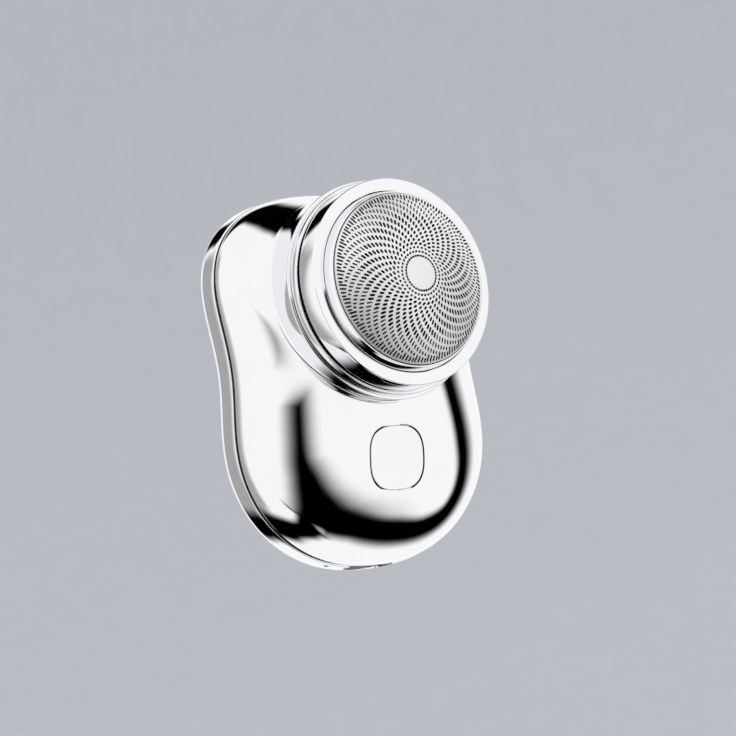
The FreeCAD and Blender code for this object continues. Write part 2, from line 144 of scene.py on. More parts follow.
# %% Grids, cuts and prisms
def ring_faces(rows, count, close=False):
    """Quads between rows of points that each go once round, count points to a row."""
    faces = []
    last = rows if close else rows - 1
    for row in range(last):
        here, there = row * count, ((row + 1) % rows) * count
        for i in range(count):
            j = (i + 1) % count
            faces.append((here + i, here + j, there + j, there + i))
    return faces


def cut_away(piece, points, faces):
    """Cuts a closed form, given in millimetres, out of a piece."""
    mesh = bpy.data.meshes.new("cutter")
    mesh.from_pydata((np.asarray(points, float) * MM).tolist(), [], faces)
    tool = bpy.data.objects.new("cutter", mesh)
    bpy.context.scene.collection.objects.link(tool)
    change = piece.modifiers.new("cut", "BOOLEAN")
    change.operation = "DIFFERENCE"
    change.solver = "EXACT"
    change.object = tool
    bpy.context.view_layer.update()
    result = bpy.data.meshes.new_from_object(piece.evaluated_get(bpy.context.evaluated_depsgraph_get()))
    piece.modifiers.clear()
    piece.data = result
    result.name = piece.name
    bpy.data.objects.remove(tool)
    smooth(piece)
    return piece


def prism(outline, low, high):
    """A straight prism: the outline's (x, y) points from low to high along z."""
    count = len(outline)
    points = [(x, y, low) for x, y in outline] + [(x, y, high) for x, y in outline]
    faces = ring_faces(2, count) + [tuple(range(count))[::-1], tuple(range(count, 2 * count))]
    return np.array(points), faces


# %% [markdown]
# ## The head's axis and the button's axis
# The head looks up a little, and the button lies in the slope of the belly. Pieces on either axis are
# made round a plain z axis and then turned into place by one of these two frames.

# %% The two axes
HEAD_PLACE = np.array([0.0, -24.9, 13.4])
HEAD_TILT = math.radians(3.7)
HEAD_AXES = np.array([[1, 0, 0],
                      [0, math.sin(HEAD_TILT), math.cos(HEAD_TILT)],
                      [0, -math.cos(HEAD_TILT), math.sin(HEAD_TILT)]])
BUTTON_Z = -14.8
just_above, just_below = (float(front_y(np.array(0.0), np.array(BUTTON_Z + step))) for step in (0.5, -0.5))
BUTTON_LEAN = math.atan(just_below - just_above)
BUTTON_PLACE = np.array([0.0, float(front_y(np.array(0.0), np.array(BUTTON_Z))), BUTTON_Z])
BUTTON_AXES = np.array([[1, 0, 0],
                        [0, -math.sin(BUTTON_LEAN), math.cos(BUTTON_LEAN)],
                        [0, -math.cos(BUTTON_LEAN), -math.sin(BUTTON_LEAN)]])


def on_head(points):
    return np.asarray(points, float) @ HEAD_AXES + HEAD_PLACE


def on_button(points):
    return np.asarray(points, float) @ BUTTON_AXES + BUTTON_PLACE


print("button leans %.2f degrees" % math.degrees(BUTTON_LEAN))

# %% [markdown]
# ## Node groups for wear
# Polished plating is never a perfect mirror. It carries hairlines from a cloth, a haze where fingers
# rest and a very slight waviness from polishing. The first group holds those three for every bright
# metal here. The second gives the grain of moulded or matt things. Both put out only numbers that vary
# over the surface.

# %% Shader groups
def new_group(name, inputs, outputs):
    """An empty node group with float inputs (name, default) and the named outputs."""
    group = bpy.data.node_groups.new(name, "ShaderNodeTree")
    for label, value in inputs:
        socket = group.interface.new_socket(name=label, in_out="INPUT", socket_type="NodeSocketFloat")
        socket.default_value = value
    for label, kind in outputs:
        group.interface.new_socket(name=label, in_out="OUTPUT", socket_type=kind)
    return group, group.nodes.new("NodeGroupInput"), group.nodes.new("NodeGroupOutput")


def math_node(tree, operation, a, b=None):
    node = tree.nodes.new("ShaderNodeMath")
    node.operation = operation
    for socket, value in zip(node.inputs, (a, b)):
        if value is None:
            continue
        if isinstance(value, (int, float)):
            socket.default_value = value
        else:
            tree.links.new(value, socket)
    return node.outputs[0]


def noise(tree, where, scale, detail=2.0, rough=0.5):
    node = tree.nodes.new("ShaderNodeTexNoise")
    node.inputs["Scale"].default_value = scale
    node.inputs["Detail"].default_value = detail
    node.inputs["Roughness"].default_value = rough
    tree.links.new(where, node.inputs["Vector"])
    return node.outputs["Fac"]


def ramp(tree, value, low, high):
    """A smooth step of value between low and high."""
    node = tree.nodes.new("ShaderNodeMapRange")
    node.interpolation_type = "SMOOTHSTEP"
    node.inputs["From Min"].default_value = low
    node.inputs["From Max"].default_value = high
    tree.links.new(value, node.inputs["Value"])
    return node.outputs["Result"]


def stretched(tree, where, size, turn):
    """The coordinates where, stretched by size and turned by turn."""
    node = tree.nodes.new("ShaderNodeMapping")
    node.inputs["Scale"].default_value = size
    node.inputs["Rotation"].default_value = turn
    tree.links.new(where, node.inputs["Vector"])
    return node.outputs["Vector"]


# %% The polish group and the grain group
def make_polish_group():
    group, into, out = new_group(
        "handled polish", [("Roughness", 0.05), ("Haze", 0.05), ("Hairlines", 0.03), ("Waviness", 0.1)],
        [("Roughness", "NodeSocketFloat"), ("Height", "NodeSocketFloat"), ("Tarnish", "NodeSocketFloat")])
    where = group.nodes.new("ShaderNodeTexCoord").outputs["Object"]
    haze = ramp(group, noise(group, where, 90.0, 4.0, 0.6), 0.45, 0.75)
    first = noise(group, stretched(group, where, (2500, 2500, 90), (0.3, 0.2, 0.5)), 1.0, 1.0)
    second = noise(group, stretched(group, where, (90, 2500, 2500), (0.9, 0.4, 0.1)), 1.0, 1.0)
    lines = math_node(group, "MAXIMUM", ramp(group, first, 0.68, 0.8), ramp(group, second, 0.68, 0.8))
    grooves = math_node(group, "MULTIPLY", lines, into.outputs["Hairlines"])
    added = math_node(group, "ADD", math_node(group, "MULTIPLY", haze, into.outputs["Haze"]), grooves)
    rough = math_node(group, "ADD", into.outputs["Roughness"], added)
    wavy = math_node(group, "MULTIPLY", noise(group, where, 160.0, 1.0), into.outputs["Waviness"])
    height = math_node(group, "SUBTRACT", wavy, grooves)
    group.links.new(rough, out.inputs["Roughness"])
    group.links.new(height, out.inputs["Height"])
    group.links.new(haze, out.inputs["Tarnish"])
    return group


def make_grain_group():
    group, into, out = new_group(
        "moulded grain", [("Grain size", 900.0), ("Roughness", 0.5), ("Spread", 0.15)],
        [("Roughness", "NodeSocketFloat"), ("Height", "NodeSocketFloat"), ("Shade", "NodeSocketFloat")])
    where = group.nodes.new("ShaderNodeTexCoord").outputs["Object"]
    fine = group.nodes.new("ShaderNodeTexNoise")
    fine.inputs["Detail"].default_value = 3.0
    group.links.new(where, fine.inputs["Vector"])
    group.links.new(into.outputs["Grain size"], fine.inputs["Scale"])
    broad = noise(group, where, 70.0, 3.0)
    swing = math_node(group, "MULTIPLY", math_node(group, "SUBTRACT", broad, 0.5), into.outputs["Spread"])
    group.links.new(math_node(group, "ADD", into.outputs["Roughness"], swing), out.inputs["Roughness"])
    group.links.new(fine.outputs["Fac"], out.inputs["Height"])
    group.links.new(broad, out.inputs["Shade"])
    return group


POLISH = make_polish_group()
GRAIN = make_grain_group()
print("shader groups:", POLISH.name, "and", GRAIN.name)

# %% [markdown]
# ## Materials
# Each finish on the shaver has its own function, or a row in the list of plain finishes. The metals
# share the polish group and differ in colour and in how much wear they show. The plastics, the rubber
# and the wrap share the grain group.

# %% Material helpers
def start_material(name, colour, roughness, metallic=0.0):
    """A material with its Principled shader set up, and the shader itself."""
    material = bpy.data.materials.new(name)
    material.use_nodes = True
    shader = material.node_tree.nodes["Principled BSDF"]
    shader.inputs["Base Color"].default_value = (*colour, 1.0)
    shader.inputs["Roughness"].default_value = roughness
    shader.inputs["Metallic"].default_value = metallic
    return material, shader


def place_group(tree, group, **values):
    node = tree.nodes.new("ShaderNodeGroup")
    node.node_tree = group
    for label, value in values.items():
        node.inputs[label.replace("_", " ")].default_value = value
    return node


def blend_colours(tree, mask, dark, light):
    node = tree.nodes.new("ShaderNodeMix")
    node.data_type = "RGBA"
    node.inputs["A"].default_value = (*dark, 1.0)
    node.inputs["B"].default_value = (*light, 1.0)
    tree.links.new(mask, node.inputs["Factor"])
    return node.outputs["Result"]


def bump(tree, shader, height, strength, distance):
    node = tree.nodes.new("ShaderNodeBump")
    node.inputs["Strength"].default_value = strength
    node.inputs["Distance"].default_value = distance
    tree.links.new(height, node.inputs["Height"])
    tree.links.new(node.outputs["Normal"], shader.inputs["Normal"])


# %% Bright metals
def bright_metal(name, colour, tarnish, roughness, haze, hairlines, waviness, depth=2e-6):
    """Polished or plated metal with the wear that handling gives it."""
    material, shader = start_material(name, colour, roughness, 1.0)
    tree = material.node_tree
    wear = place_group(tree, POLISH, Roughness=roughness, Haze=haze, Hairlines=hairlines, Waviness=waviness)
    shade = blend_colours(tree, wear.outputs["Tarnish"], colour, tarnish)
    tree.links.new(shade, shader.inputs["Base Color"])
    tree.links.new(wear.outputs["Roughness"], shader.inputs["Roughness"])
    bump(tree, shader, wear.outputs["Height"], 0.3, depth)
    return material


def tinted(colour, factor):
    return tuple(channel * factor for channel in colour)


CHROME = bright_metal("mirror chrome", (0.90, 0.905, 0.92), (0.87, 0.875, 0.89), 0.035, 0.03, 0.03, 0.2)
FOIL_STEEL = bright_metal("foil steel", (0.93, 0.93, 0.94), (0.92, 0.92, 0.93), 0.45, 0.06, 0.05, 0.3)
# Painted shade: the blade steel is made far darker than bare steel, so the slots in the foil read as the
# shadow under it.
BLADE_STEEL_PAINTED_SHADE = bright_metal("blade steel painted dark for shade", (0.10, 0.102, 0.108), (0.07, 0.072, 0.075), 0.3, 0.08, 0.08, 0.4)
MOTOR_STEEL = bright_metal("motor steel", (0.50, 0.50, 0.52), (0.42, 0.42, 0.43), 0.3, 0.12, 0.1, 0.5)
SCREW_STEEL = bright_metal("screw steel", (0.62, 0.62, 0.63), (0.5, 0.5, 0.5), 0.25, 0.1, 0.1, 0.4)
MAGNET_NICKEL = bright_metal("magnet nickel", (0.72, 0.70, 0.66), (0.6, 0.58, 0.54), 0.12, 0.1, 0.05, 0.3)
SOCKET_STEEL = bright_metal("socket steel", (0.66, 0.66, 0.67), (0.55, 0.55, 0.56), 0.2, 0.1, 0.08, 0.3)


# %% Plastics, rubber, wrap and board
def grained(name, colour, roughness, size, spread, strength, depth, contrast=0.2):
    """A moulded, dipped or wrapped finish with a fine grain and a slow change of shade."""
    material, shader = start_material(name, colour, roughness)
    tree = material.node_tree
    grain = place_group(tree, GRAIN, Grain_size=size, Roughness=roughness, Spread=spread)
    dark, light = tinted(colour, 1 - contrast), tinted(colour, 1 + contrast)
    tint = blend_colours(tree, grain.outputs["Shade"], dark, light)
    tree.links.new(tint, shader.inputs["Base Color"])
    tree.links.new(grain.outputs["Roughness"], shader.inputs["Roughness"])
    bump(tree, shader, grain.outputs["Height"], strength, depth)
    return material


SEAL_RUBBER = grained("seal rubber", (0.012, 0.012, 0.013), 0.55, 1800, 0.2, 0.3, 1e-5)
DARK_PLASTIC = grained("dark plastic", (0.02, 0.021, 0.024), 0.42, 2400, 0.2, 0.25, 8e-6)
PALE_PLASTIC = grained("pale plastic", (0.62, 0.61, 0.58), 0.38, 2200, 0.15, 0.2, 8e-6)
CELL_WRAP = grained("cell wrap", (0.05, 0.12, 0.32), 0.3, 600, 0.25, 0.35, 2e-5)
CIRCUIT_BOARD = grained("circuit board", (0.012, 0.09, 0.045), 0.35, 3200, 0.3, 0.5, 1e-5)
LEAD_JACKET = grained("lead jacket", (0.30, 0.03, 0.025), 0.45, 1500, 0.2, 0.2, 1e-5)
LAMP_LENS = grained("lamp lens", (0.05, 0.05, 0.055), 0.18, 1200, 0.1, 0.1, 5e-6)
print("materials:", len(bpy.data.materials))

# %% Finishes for the pieces that keep their CAD shape
KEPT_FINISH = {
    "seal_rubber": SEAL_RUBBER, "dark_plastic": DARK_PLASTIC, "pale_plastic": PALE_PLASTIC,
    "blade_steel": BLADE_STEEL_PAINTED_SHADE, "motor_steel": MOTOR_STEEL, "screw_steel": SCREW_STEEL,
    "magnet_nickel": MAGNET_NICKEL, "socket_steel": SOCKET_STEEL, "cell_wrap": CELL_WRAP,
    "circuit_board": CIRCUIT_BOARD, "lead_jacket": LEAD_JACKET, "lamp_lens": LAMP_LENS,
    "mirror_chrome": CHROME, "foil_steel": FOIL_STEEL}
for part in frame["record"]["subparts"]:
    node = frame["nodes"][part["node"]]
    node.data.materials.clear()
    node.data.materials.append(KEPT_FINISH[part["material_slot"]])

# %% [markdown]
# ## The front of the casing
# The front shell is one moulding: the bulging pebble, a round neck that grows out of it for the head,
# and a hollow inside. A grid runs round the neck like the rings of a tree. Each of its rings is a step
# on one profile: up the bore, over the neck's end, down the outside, through a small fillet, out over
# the pebble to the seam, and back along the inside. Such a grid puts its rows where light turns, at the
# fillet and near the seam, which a subdivided box can't do.

# %% Front shell grid
AROUND = 420
NECK_R, NECK_TOP, NECK_BORE_R = 18.15, -6.3, 15.9
SEAT_R, DECK_FOOT = 17.05, -7.2
NECK_FILLET = 0.4
turn = 2 * math.pi * np.arange(AROUND) / AROUND


def neck_ring(radius, height):
    """Points on a circle round the head's axis; height may differ from point to point."""
    height = np.broadcast_to(height, (AROUND,))
    return on_head(np.stack([radius * np.cos(turn), radius * np.sin(turn), height], axis=1))


def neck_meets_skin(radius, inset):
    """Heights on a cylinder of the given radius at which it runs into the pebble's skin."""
    height = np.full(AROUND, -10.0)
    for _ in range(25):
        ring = neck_ring(radius, height)
        height = height + (ring[:, 1] - front_y(ring[:, 0], ring[:, 2], inset)) / math.cos(HEAD_TILT)
    return height


def seam_reach(direction, inset):
    """Distance from the head's middle to the seam outline in each direction, by halving."""
    near, far = np.full(AROUND, 12.0), np.full(AROUND, 60.0)
    for _ in range(50):
        middle = 0.5 * (near + far)
        x, z = direction[0] * middle, HEAD_PLACE[2] + direction[1] * middle
        outside = (np.abs(z) > HALF_HEIGHT - inset) | (outline_share(x, z, inset) > 1)
        near, far = np.where(outside, near, middle), np.where(outside, middle, far)
    return near


def skin_rows(radius, inset, rows, fillet):
    """Rings over the pebble's skin, from where a cylinder leaves it out to the seam."""
    foot = neck_ring(radius, neck_meets_skin(radius, inset))
    x, z = foot[:, 0], foot[:, 2] - HEAD_PLACE[2]
    start = np.hypot(x, z)
    direction = (x / start, z / start)
    reach = seam_reach(direction, inset + RIM_STEP)
    rings = []
    for k in range(rows):
        share = 1 - (1 - k / rows) ** 3
        out = start + fillet + (reach - start - fillet) * share
        px, pz = direction[0] * out, HEAD_PLACE[2] + direction[1] * out
        rings.append(np.stack([px, front_y(px, pz, inset), pz], axis=1))
    px, pz = direction[0] * reach, HEAD_PLACE[2] + direction[1] * reach
    rings.append(np.stack([px, np.full(AROUND, FRONT_BASE), pz], axis=1))
    return foot, rings


def front_shell_rings():
    foot, outside = skin_rows(NECK_R, 0.0, 62, NECK_FILLET)
    inner_foot, inside = skin_rows(NECK_BORE_R, WALL, 26, 0.0)
    join = neck_meets_skin(NECK_R, 0.0)
    bore_join = neck_meets_skin(NECK_BORE_R, WALL)
    rings = [neck_ring(NECK_BORE_R, bore_join * (1 - s) + DECK_FOOT * s) for s in (0.4, 1.0)]
    rings += [neck_ring(SEAT_R, DECK_FOOT), neck_ring(SEAT_R, NECK_TOP)]
    rings += [neck_ring(NECK_R - 0.08, NECK_TOP), neck_ring(NECK_R, NECK_TOP - 0.08)]
    top = join + NECK_FILLET
    rings += [neck_ring(NECK_R, top * s + (NECK_TOP - 0.08) * (1 - s)) for s in (0.33, 0.66)]
    start, end = neck_ring(NECK_R, top), outside[0]
    for s in np.linspace(0, 1, 7)[:-1]:
        rings.append((1 - s) ** 2 * start + 2 * s * (1 - s) * foot + s ** 2 * end)
    rings += outside + inside[::-1] + [inner_foot]
    return rings


# %% [markdown]
# ### Its openings, and normals for a mirror
# The button's hole is a rounded square, cut square to the slope of the belly, and the charging socket
# has a slot with round ends across the seam. A boolean cut leaves long thin faces beside the hole. In a
# mirror they would show, so every corner that lies on the pebble takes its normal from the formula
# instead of from its neighbours.

# %% Front shell
BUTTON_SIDE, BUTTON_GAP, BUTTON_POWER = 10.6, 0.25, 2.8
PORT_Y, PORT_WIDE, PORT_HIGH = -4.6, 9.3, 3.5


def round_square(side, count=96):
    """Outline of the button, as (x, y)."""
    angles = 2 * math.pi * (np.arange(count) + 0.5) / count
    c, s = np.cos(angles), np.sin(angles)
    x = 0.5 * side * np.sign(c) * np.abs(c) ** (2 / BUTTON_POWER)
    y = 0.5 * side * np.sign(s) * np.abs(s) ** (2 / BUTTON_POWER)
    return np.stack([x, y], axis=1)


def slot_outline(wide, high, count=16):
    """A slot with round ends, as (x, y) about the charging socket's middle."""
    radius, reach = high / 2, (wide - high) / 2
    points = []
    for side, first in ((1, -0.5), (-1, 0.5)):
        for k in range(count + 1):
            angle = math.pi * (first + k / count)
            points.append((side * reach + radius * math.cos(angle), PORT_Y + radius * math.sin(angle)))
    return points


def normals_from_skin(piece, inset=0.0):
    """Gives every corner that lies on the front's skin the exact normal there."""
    mesh = piece.data
    corners = np.zeros(len(mesh.loops), np.int32)
    mesh.loops.foreach_get("vertex_index", corners)
    places = np.zeros(len(mesh.vertices) * 3)
    mesh.vertices.foreach_get("co", places)
    places = places.reshape(-1, 3)[corners] / MM
    normals = np.zeros(len(mesh.loops) * 3)
    mesh.corner_normals.foreach_get("vector", normals)
    normals = normals.reshape(-1, 3)
    face_of = np.repeat(np.arange(len(mesh.polygons)), [p.loop_total for p in mesh.polygons])
    flat = np.array([p.normal for p in mesh.polygons])[face_of]
    x, y, z = places.T
    inside = (outline_share(x, z, inset + RIM_STEP) < 0.9995) & (np.abs(y - front_y(x, z, inset)) < 0.003)
    exact = front_normal(x, z, inset)
    on_skin = inside & (np.sum(exact * flat, axis=1) > 0.9)
    normals[on_skin] = exact[on_skin]
    mesh.normals_split_custom_set(normals.tolist())
    print(f"{piece.name}: {int(on_skin.sum())} exact corner normals")


rings = front_shell_rings()
front_shell = add_piece("casing_front", np.concatenate(rings), ring_faces(len(rings), AROUND, close=True),
                        CHROME, "body", ["front_shell"])
hole, hole_faces = prism(round_square(BUTTON_SIDE + 2 * BUTTON_GAP), -4.0, 3.0)
cut_away(front_shell, on_button(hole), hole_faces)
cut_away(front_shell, *prism(slot_outline(PORT_WIDE, PORT_HIGH), -40.0, -20.0))
normals_from_skin(front_shell)

# %% [markdown]
# ## The back of the casing
# The back shell is a shallow dish of the same outline. Its rim stands a little proud of the front all
# round, so that the seam reads as a bright line beside a dark one. Its rows are the outline drawn in
# step by step, which follows the round of the back's edge.

# %% Back shell
LAMP_X, LAMP_Y, LAMP_R = -7.8, -4.3, 0.6


def outline_ring(inset, y, size=1.0):
    """The pebble outline drawn in by inset, in the plane y, with points evenly spaced along it."""
    fine = 2 * math.pi * np.arange(9600) / 9600
    up, across = np.sin(fine), np.cos(fine)
    power = np.where(up > 0, TOP_POWER, LOW_POWER)
    z = (HALF_HEIGHT - inset) * np.sign(up) * np.abs(up) ** (2 / power)
    x = (half_width(z) - inset) * np.sign(across) * np.abs(across) ** (2 / power)
    gone = np.concatenate([[0], np.cumsum(np.hypot(np.diff(x), np.diff(z)))])
    total = gone[-1] + math.hypot(x[0] - x[-1], z[0] - z[-1])
    at = np.interp(np.arange(AROUND) * total / AROUND, np.append(gone, total), np.append(fine, 2 * math.pi))
    x, z = np.interp(at, fine, x), np.interp(at, fine, z)
    return np.stack([x * size, np.full(AROUND, y), z * size], axis=1)


def arc_steps(radius, count):
    """(inset, depth) along a quarter round, from its side to its flat."""
    return [(radius * (1 - math.cos(a)), radius * (1 - math.sin(a)))
            for a in np.linspace(0, math.pi / 2, count)]


def back_shell_rings():
    rim = 0.12
    rings = [outline_ring(WALL + 1.2, -WALL, s) for s in (0.05, 0.5)]
    rings += [outline_ring(WALL + inset, -WALL - depth) for inset, depth in arc_steps(1.2, 6)[::-1]]
    rings += [outline_ring(WALL, SEAM_Y + 0.05), outline_ring(WALL - 0.05, SEAM_Y)]
    rings += [outline_ring(inset, SEAM_Y + depth) for inset, depth in
              [(rim * (1 - math.cos(a)), rim * (1 - math.sin(a))) for a in np.linspace(math.pi / 2, 0, 6)]]
    rings += [outline_ring(0, SEAM_Y + rim + (-BACK_ROUND - SEAM_Y - rim) * s) for s in (0.33, 0.66)]
    rings += [outline_ring(inset, -depth) for inset, depth in arc_steps(BACK_ROUND, 14)]
    rings += [outline_ring(BACK_ROUND, 0.0, s) for s in (0.98, 0.6, 0.05)]
    return rings


rings = back_shell_rings()
faces = ring_faces(len(rings), AROUND)
faces += [tuple(range(AROUND))[::-1], tuple(range((len(rings) - 1) * AROUND, len(rings) * AROUND))]
back_shell = add_piece("casing_back", np.concatenate(rings), faces, CHROME, "body",
                       ["back_shell"])
cut_away(back_shell, *prism(slot_outline(PORT_WIDE, PORT_HIGH), -40.0, -20.0))
lamp_hole = [(LAMP_X + (LAMP_R + 0.05) * math.cos(a), LAMP_Y + (LAMP_R + 0.05) * math.sin(a))
             for a in 2 * math.pi * np.arange(24) / 24]
cut_away(back_shell, *prism(lamp_hole, -40.0, -20.0))

# %% [markdown]
# ## The power button
# The button carries on the belly's curve, so that it shows only by the fine gap round it. Its face is
# the same formula as the casing's, inside a rounded square, with an edge just broken. Under it, out of
# sight, a flange keeps it from falling out.

# %% Power button
BUTTON_FLANGE, FLANGE_TOP, FLANGE_FOOT = 12.6, -2.3, -2.9


def lift_to_skin(flat, drop=0.0):
    """Puts (x, y) points of the button's plane onto the pebble's skin, along the button's axis."""
    height = np.zeros(len(flat))
    for _ in range(20):
        place = on_button(np.column_stack([flat, height]))
        height = height + (place[:, 1] - front_y(place[:, 0], place[:, 2])) / math.cos(BUTTON_LEAN)
    return on_button(np.column_stack([flat, height - drop]))


def button_rings():
    edge = 0.1
    shares = (0.02, 0.15, 0.3, 0.45, 0.6, 0.75, 0.9, 1.0)
    rings = [lift_to_skin(round_square((BUTTON_SIDE - 2 * edge) * share)) for share in shares]
    for a in np.linspace(0.3, math.pi / 2, 4):
        side = BUTTON_SIDE - 2 * edge * (1 - math.sin(a))
        rings.append(lift_to_skin(round_square(side), edge * (1 - math.cos(a))))
    foot = ((BUTTON_SIDE, FLANGE_TOP), (BUTTON_FLANGE, FLANGE_TOP), (BUTTON_FLANGE, FLANGE_FOOT),
            (0.3, FLANGE_FOOT))
    for side, height in foot:
        outline = round_square(side)
        rings.append(on_button(np.column_stack([outline, np.full(len(outline), height)])))
    return rings


rings = button_rings()
count = len(rings[0])
faces = ring_faces(len(rings), count)
faces += [tuple(range(count))[::-1], tuple(range((len(rings) - 1) * count, len(rings) * count))]
button = add_piece("button_cap", np.concatenate(rings), faces, CHROME, "button",
                   ["power_button"])
normals_from_skin(button)

# %% [markdown]
# ## Turned pieces of the head
# The collar, the ring, the bezel and the cup behind them are all turned work. Each is a closed profile
# of (radius, height, corner round) over the ring's face, swept once round. The small rounds matter more
# than anything else on polished metal: every one of them catches a thin bright line.

# %% Turned pieces
TURNED_STEPS = 288


def soften(profile, steps=5):
    """Swaps each corner of a closed profile for a short curve of the corner's own round."""
    points = []
    count = len(profile)
    for k, (r, h, size) in enumerate(profile):
        here = np.array([r, h])
        before, after = np.array(profile[k - 1][:2]), np.array(profile[(k + 1) % count][:2])
        if size == 0:
            points.append(here)
            continue
        first = here + (before - here) * min(0.45, size / np.linalg.norm(before - here))
        last = here + (after - here) * min(0.45, size / np.linalg.norm(after - here))
        for s in np.linspace(0, 1, steps):
            points.append((1 - s) ** 2 * first + 2 * s * (1 - s) * here + s ** 2 * last)
    return np.array(points)


def turned_piece(name, profile, material, body, node):
    points = soften(profile)
    angles = 2 * math.pi * np.arange(TURNED_STEPS) / TURNED_STEPS
    rings = [on_head(np.stack([r * np.cos(angles), r * np.sin(angles), np.full(TURNED_STEPS, h)], axis=1))
             for r, h in points]
    faces = ring_faces(len(rings), TURNED_STEPS, close=True)
    return add_piece(name, np.concatenate(rings), faces, material, body, [node])



# %% Collar, ring and bezel
COLLAR_R, COLLAR_TOP, LIP_R, GROOVE_R = 18.1, -4.25, 18.6, 17.75
RING_R, RING_FOOT_R, RING_DEPTH, RING_BORE_R = 17.5, 17.7, 3.75, 16.25
BEZEL_R, BEZEL_TOP_R, BEZEL_TOP, BEZEL_FLANGE_R, BEZEL_BORE_R = 15.3, 14.85, 1.65, 16.1, 14.6

turned_piece("neck_collar", [
    (SEAT_R, COLLAR_TOP, 0), (COLLAR_R, COLLAR_TOP, 0.2), (COLLAR_R, -5.7, 0.06), (GROOVE_R, -5.72, 0.03),
    (GROOVE_R, -5.88, 0.03), (LIP_R, -5.9, 0.14), (LIP_R, NECK_TOP, 0.12), (SEAT_R, NECK_TOP, 0)],
    CHROME, "body", "collar_ring")
turned_piece("head_band", [
    (BEZEL_R + 0.08, 0.0, 0.1), (RING_R, 0.0, 0.2), (RING_FOOT_R, -RING_DEPTH, 0.2),
    (RING_BORE_R, -RING_DEPTH, 0), (RING_BORE_R, -1.5, 0), (BEZEL_R + 0.08, -1.5, 0)],
    CHROME, "head", "head_ring")
turned_piece("foil_rim", [
    (BEZEL_BORE_R, BEZEL_TOP, 0.05), (BEZEL_TOP_R, BEZEL_TOP, 0.1), (BEZEL_R, 0.0, 0.0),
    (BEZEL_R, -1.55, 0), (BEZEL_FLANGE_R, -1.55, 0), (BEZEL_FLANGE_R, -2.3, 0), (BEZEL_BORE_R, -2.3, 0)],
    CHROME, "head", "foil_bezel")

# %% [markdown]
# ## The foil
# The foil is a thin steel dome with curved rows of slots. Hairs come in through the slots, and the
# blades that run underneath cut them. The rows are thirty-six arms, one every ten degrees. A slot near
# the middle is a round dot, and the further out it is on its arm, the longer it grows and the less it
# leans. The last four slots on an arm run out to the rim. The holes are real: a triangulation leaves
# them open, and each gets a wall through the sheet.

# %% Foil
ARMS, SLOTS_PER_ARM, RIM_SLOTS = 36, 25, 4
FOIL_R, FOIL_T, FOIL_EDGE, FOIL_PEAK = 14.45, 0.2, 1.88, 5.64
FIELD_START, FIELD_REACH, FIELD_CURVE = 2.95, 10.85, 1.8
FIELD_END = 14.22
ARM_STEP = math.radians(2.55)
SLOT_WIDTH = 0.4
DOME_R = (FOIL_R ** 2 + (FOIL_PEAK - FOIL_EDGE) ** 2) / (2 * (FOIL_PEAK - FOIL_EDGE))


def dome_height(x, y, drop=0.0):
    return FOIL_PEAK - DOME_R + np.sqrt((DOME_R - drop) ** 2 - x ** 2 - y ** 2)


def slot_shape(index):
    """(radius of its middle, length, lean) of one slot, counted outwards along its arm."""
    run = index / (SLOTS_PER_ARM + 1)
    radius = FIELD_START + FIELD_REACH * (1 - (1 - run) ** FIELD_CURVE)
    length = 0.34 + 0.56 * math.exp(-(((index - 12.5) / 7.5) ** 2))
    lean = math.radians(14 + 46 * math.exp(-(index - 2) / 6)) if index > 1 else math.radians(75)
    if index >= SLOTS_PER_ARM - RIM_SLOTS:
        start = radius - 0.5 * length
        radius, length = 0.5 * (start + FIELD_END), FIELD_END - start
    return radius, length, lean


def slot_bar(arm, index):
    """Outline of one slot in the foil's plane: a short bar with round ends."""
    radius, length, lean = slot_shape(index)
    angle = 2 * math.pi * arm / ARMS + ARM_STEP * index
    out = np.array([math.cos(angle), math.sin(angle)])
    side = np.array([-out[1], out[0]])
    along = math.cos(lean) * out - math.sin(lean) * side
    across = math.sin(lean) * out + math.cos(lean) * side
    width = SLOT_WIDTH
    if index > SLOTS_PER_ARM // 2:
        width = min(SLOT_WIDTH, 0.55 * 2 * math.pi * radius / (4 * ARMS))
    half = 0.5 * max(length / math.cos(lean) - width, 0.05) if index > 2 else 0.07
    points = []
    for end in (0, 1):
        for k in range(4):
            a = math.pi * (end + k / 3 - 0.5)
            reach = half * (1 - 2 * end) + 0.5 * width * math.cos(a)
            points.append(radius * out + along * reach + across * 0.5 * width * math.sin(a))
    return points


# %% Foil sheet
def circle(radius, count):
    angles = 2 * math.pi * np.arange(count) / count
    return [np.array([radius * math.cos(a), radius * math.sin(a)]) for a in angles]


def foil_sheet():
    """The foil's flat pattern: its points, its triangles, and the outlines of its slots and its edge."""
    slots, points = [], []
    for arm in range(ARMS):
        for index in range(SLOTS_PER_ARM):
            bar = slot_bar(arm, index)
            slots.append(list(range(len(points), len(points) + len(bar))))
            points += bar
    edge = list(range(len(points), len(points) + TURNED_STEPS))
    points += circle(FOIL_R, TURNED_STEPS)
    points += circle(0.5 * (FOIL_R + FIELD_END), TURNED_STEPS)
    for ring in range(1, 5):
        points += circle(0.55 * ring, 9 * ring)
    points.append(np.zeros(2))
    flat = [Vector((float(p[0]), float(p[1]))) for p in points]
    found = delaunay_2d_cdt(flat, [], slots, 0, 1e-6)
    sheet = [face for face, inside in zip(found[2], found[5]) if not inside]
    if len(found[0]) != len(points):
        print("foil slots touch each other:", len(found[0]) - len(points), "points differ")
    where = {old: new for new, olds in enumerate(found[3]) for old in olds}
    return (np.array([tuple(p) for p in found[0]]), sheet, [[where[i] for i in slot] for slot in slots],
            [where[i] for i in edge])


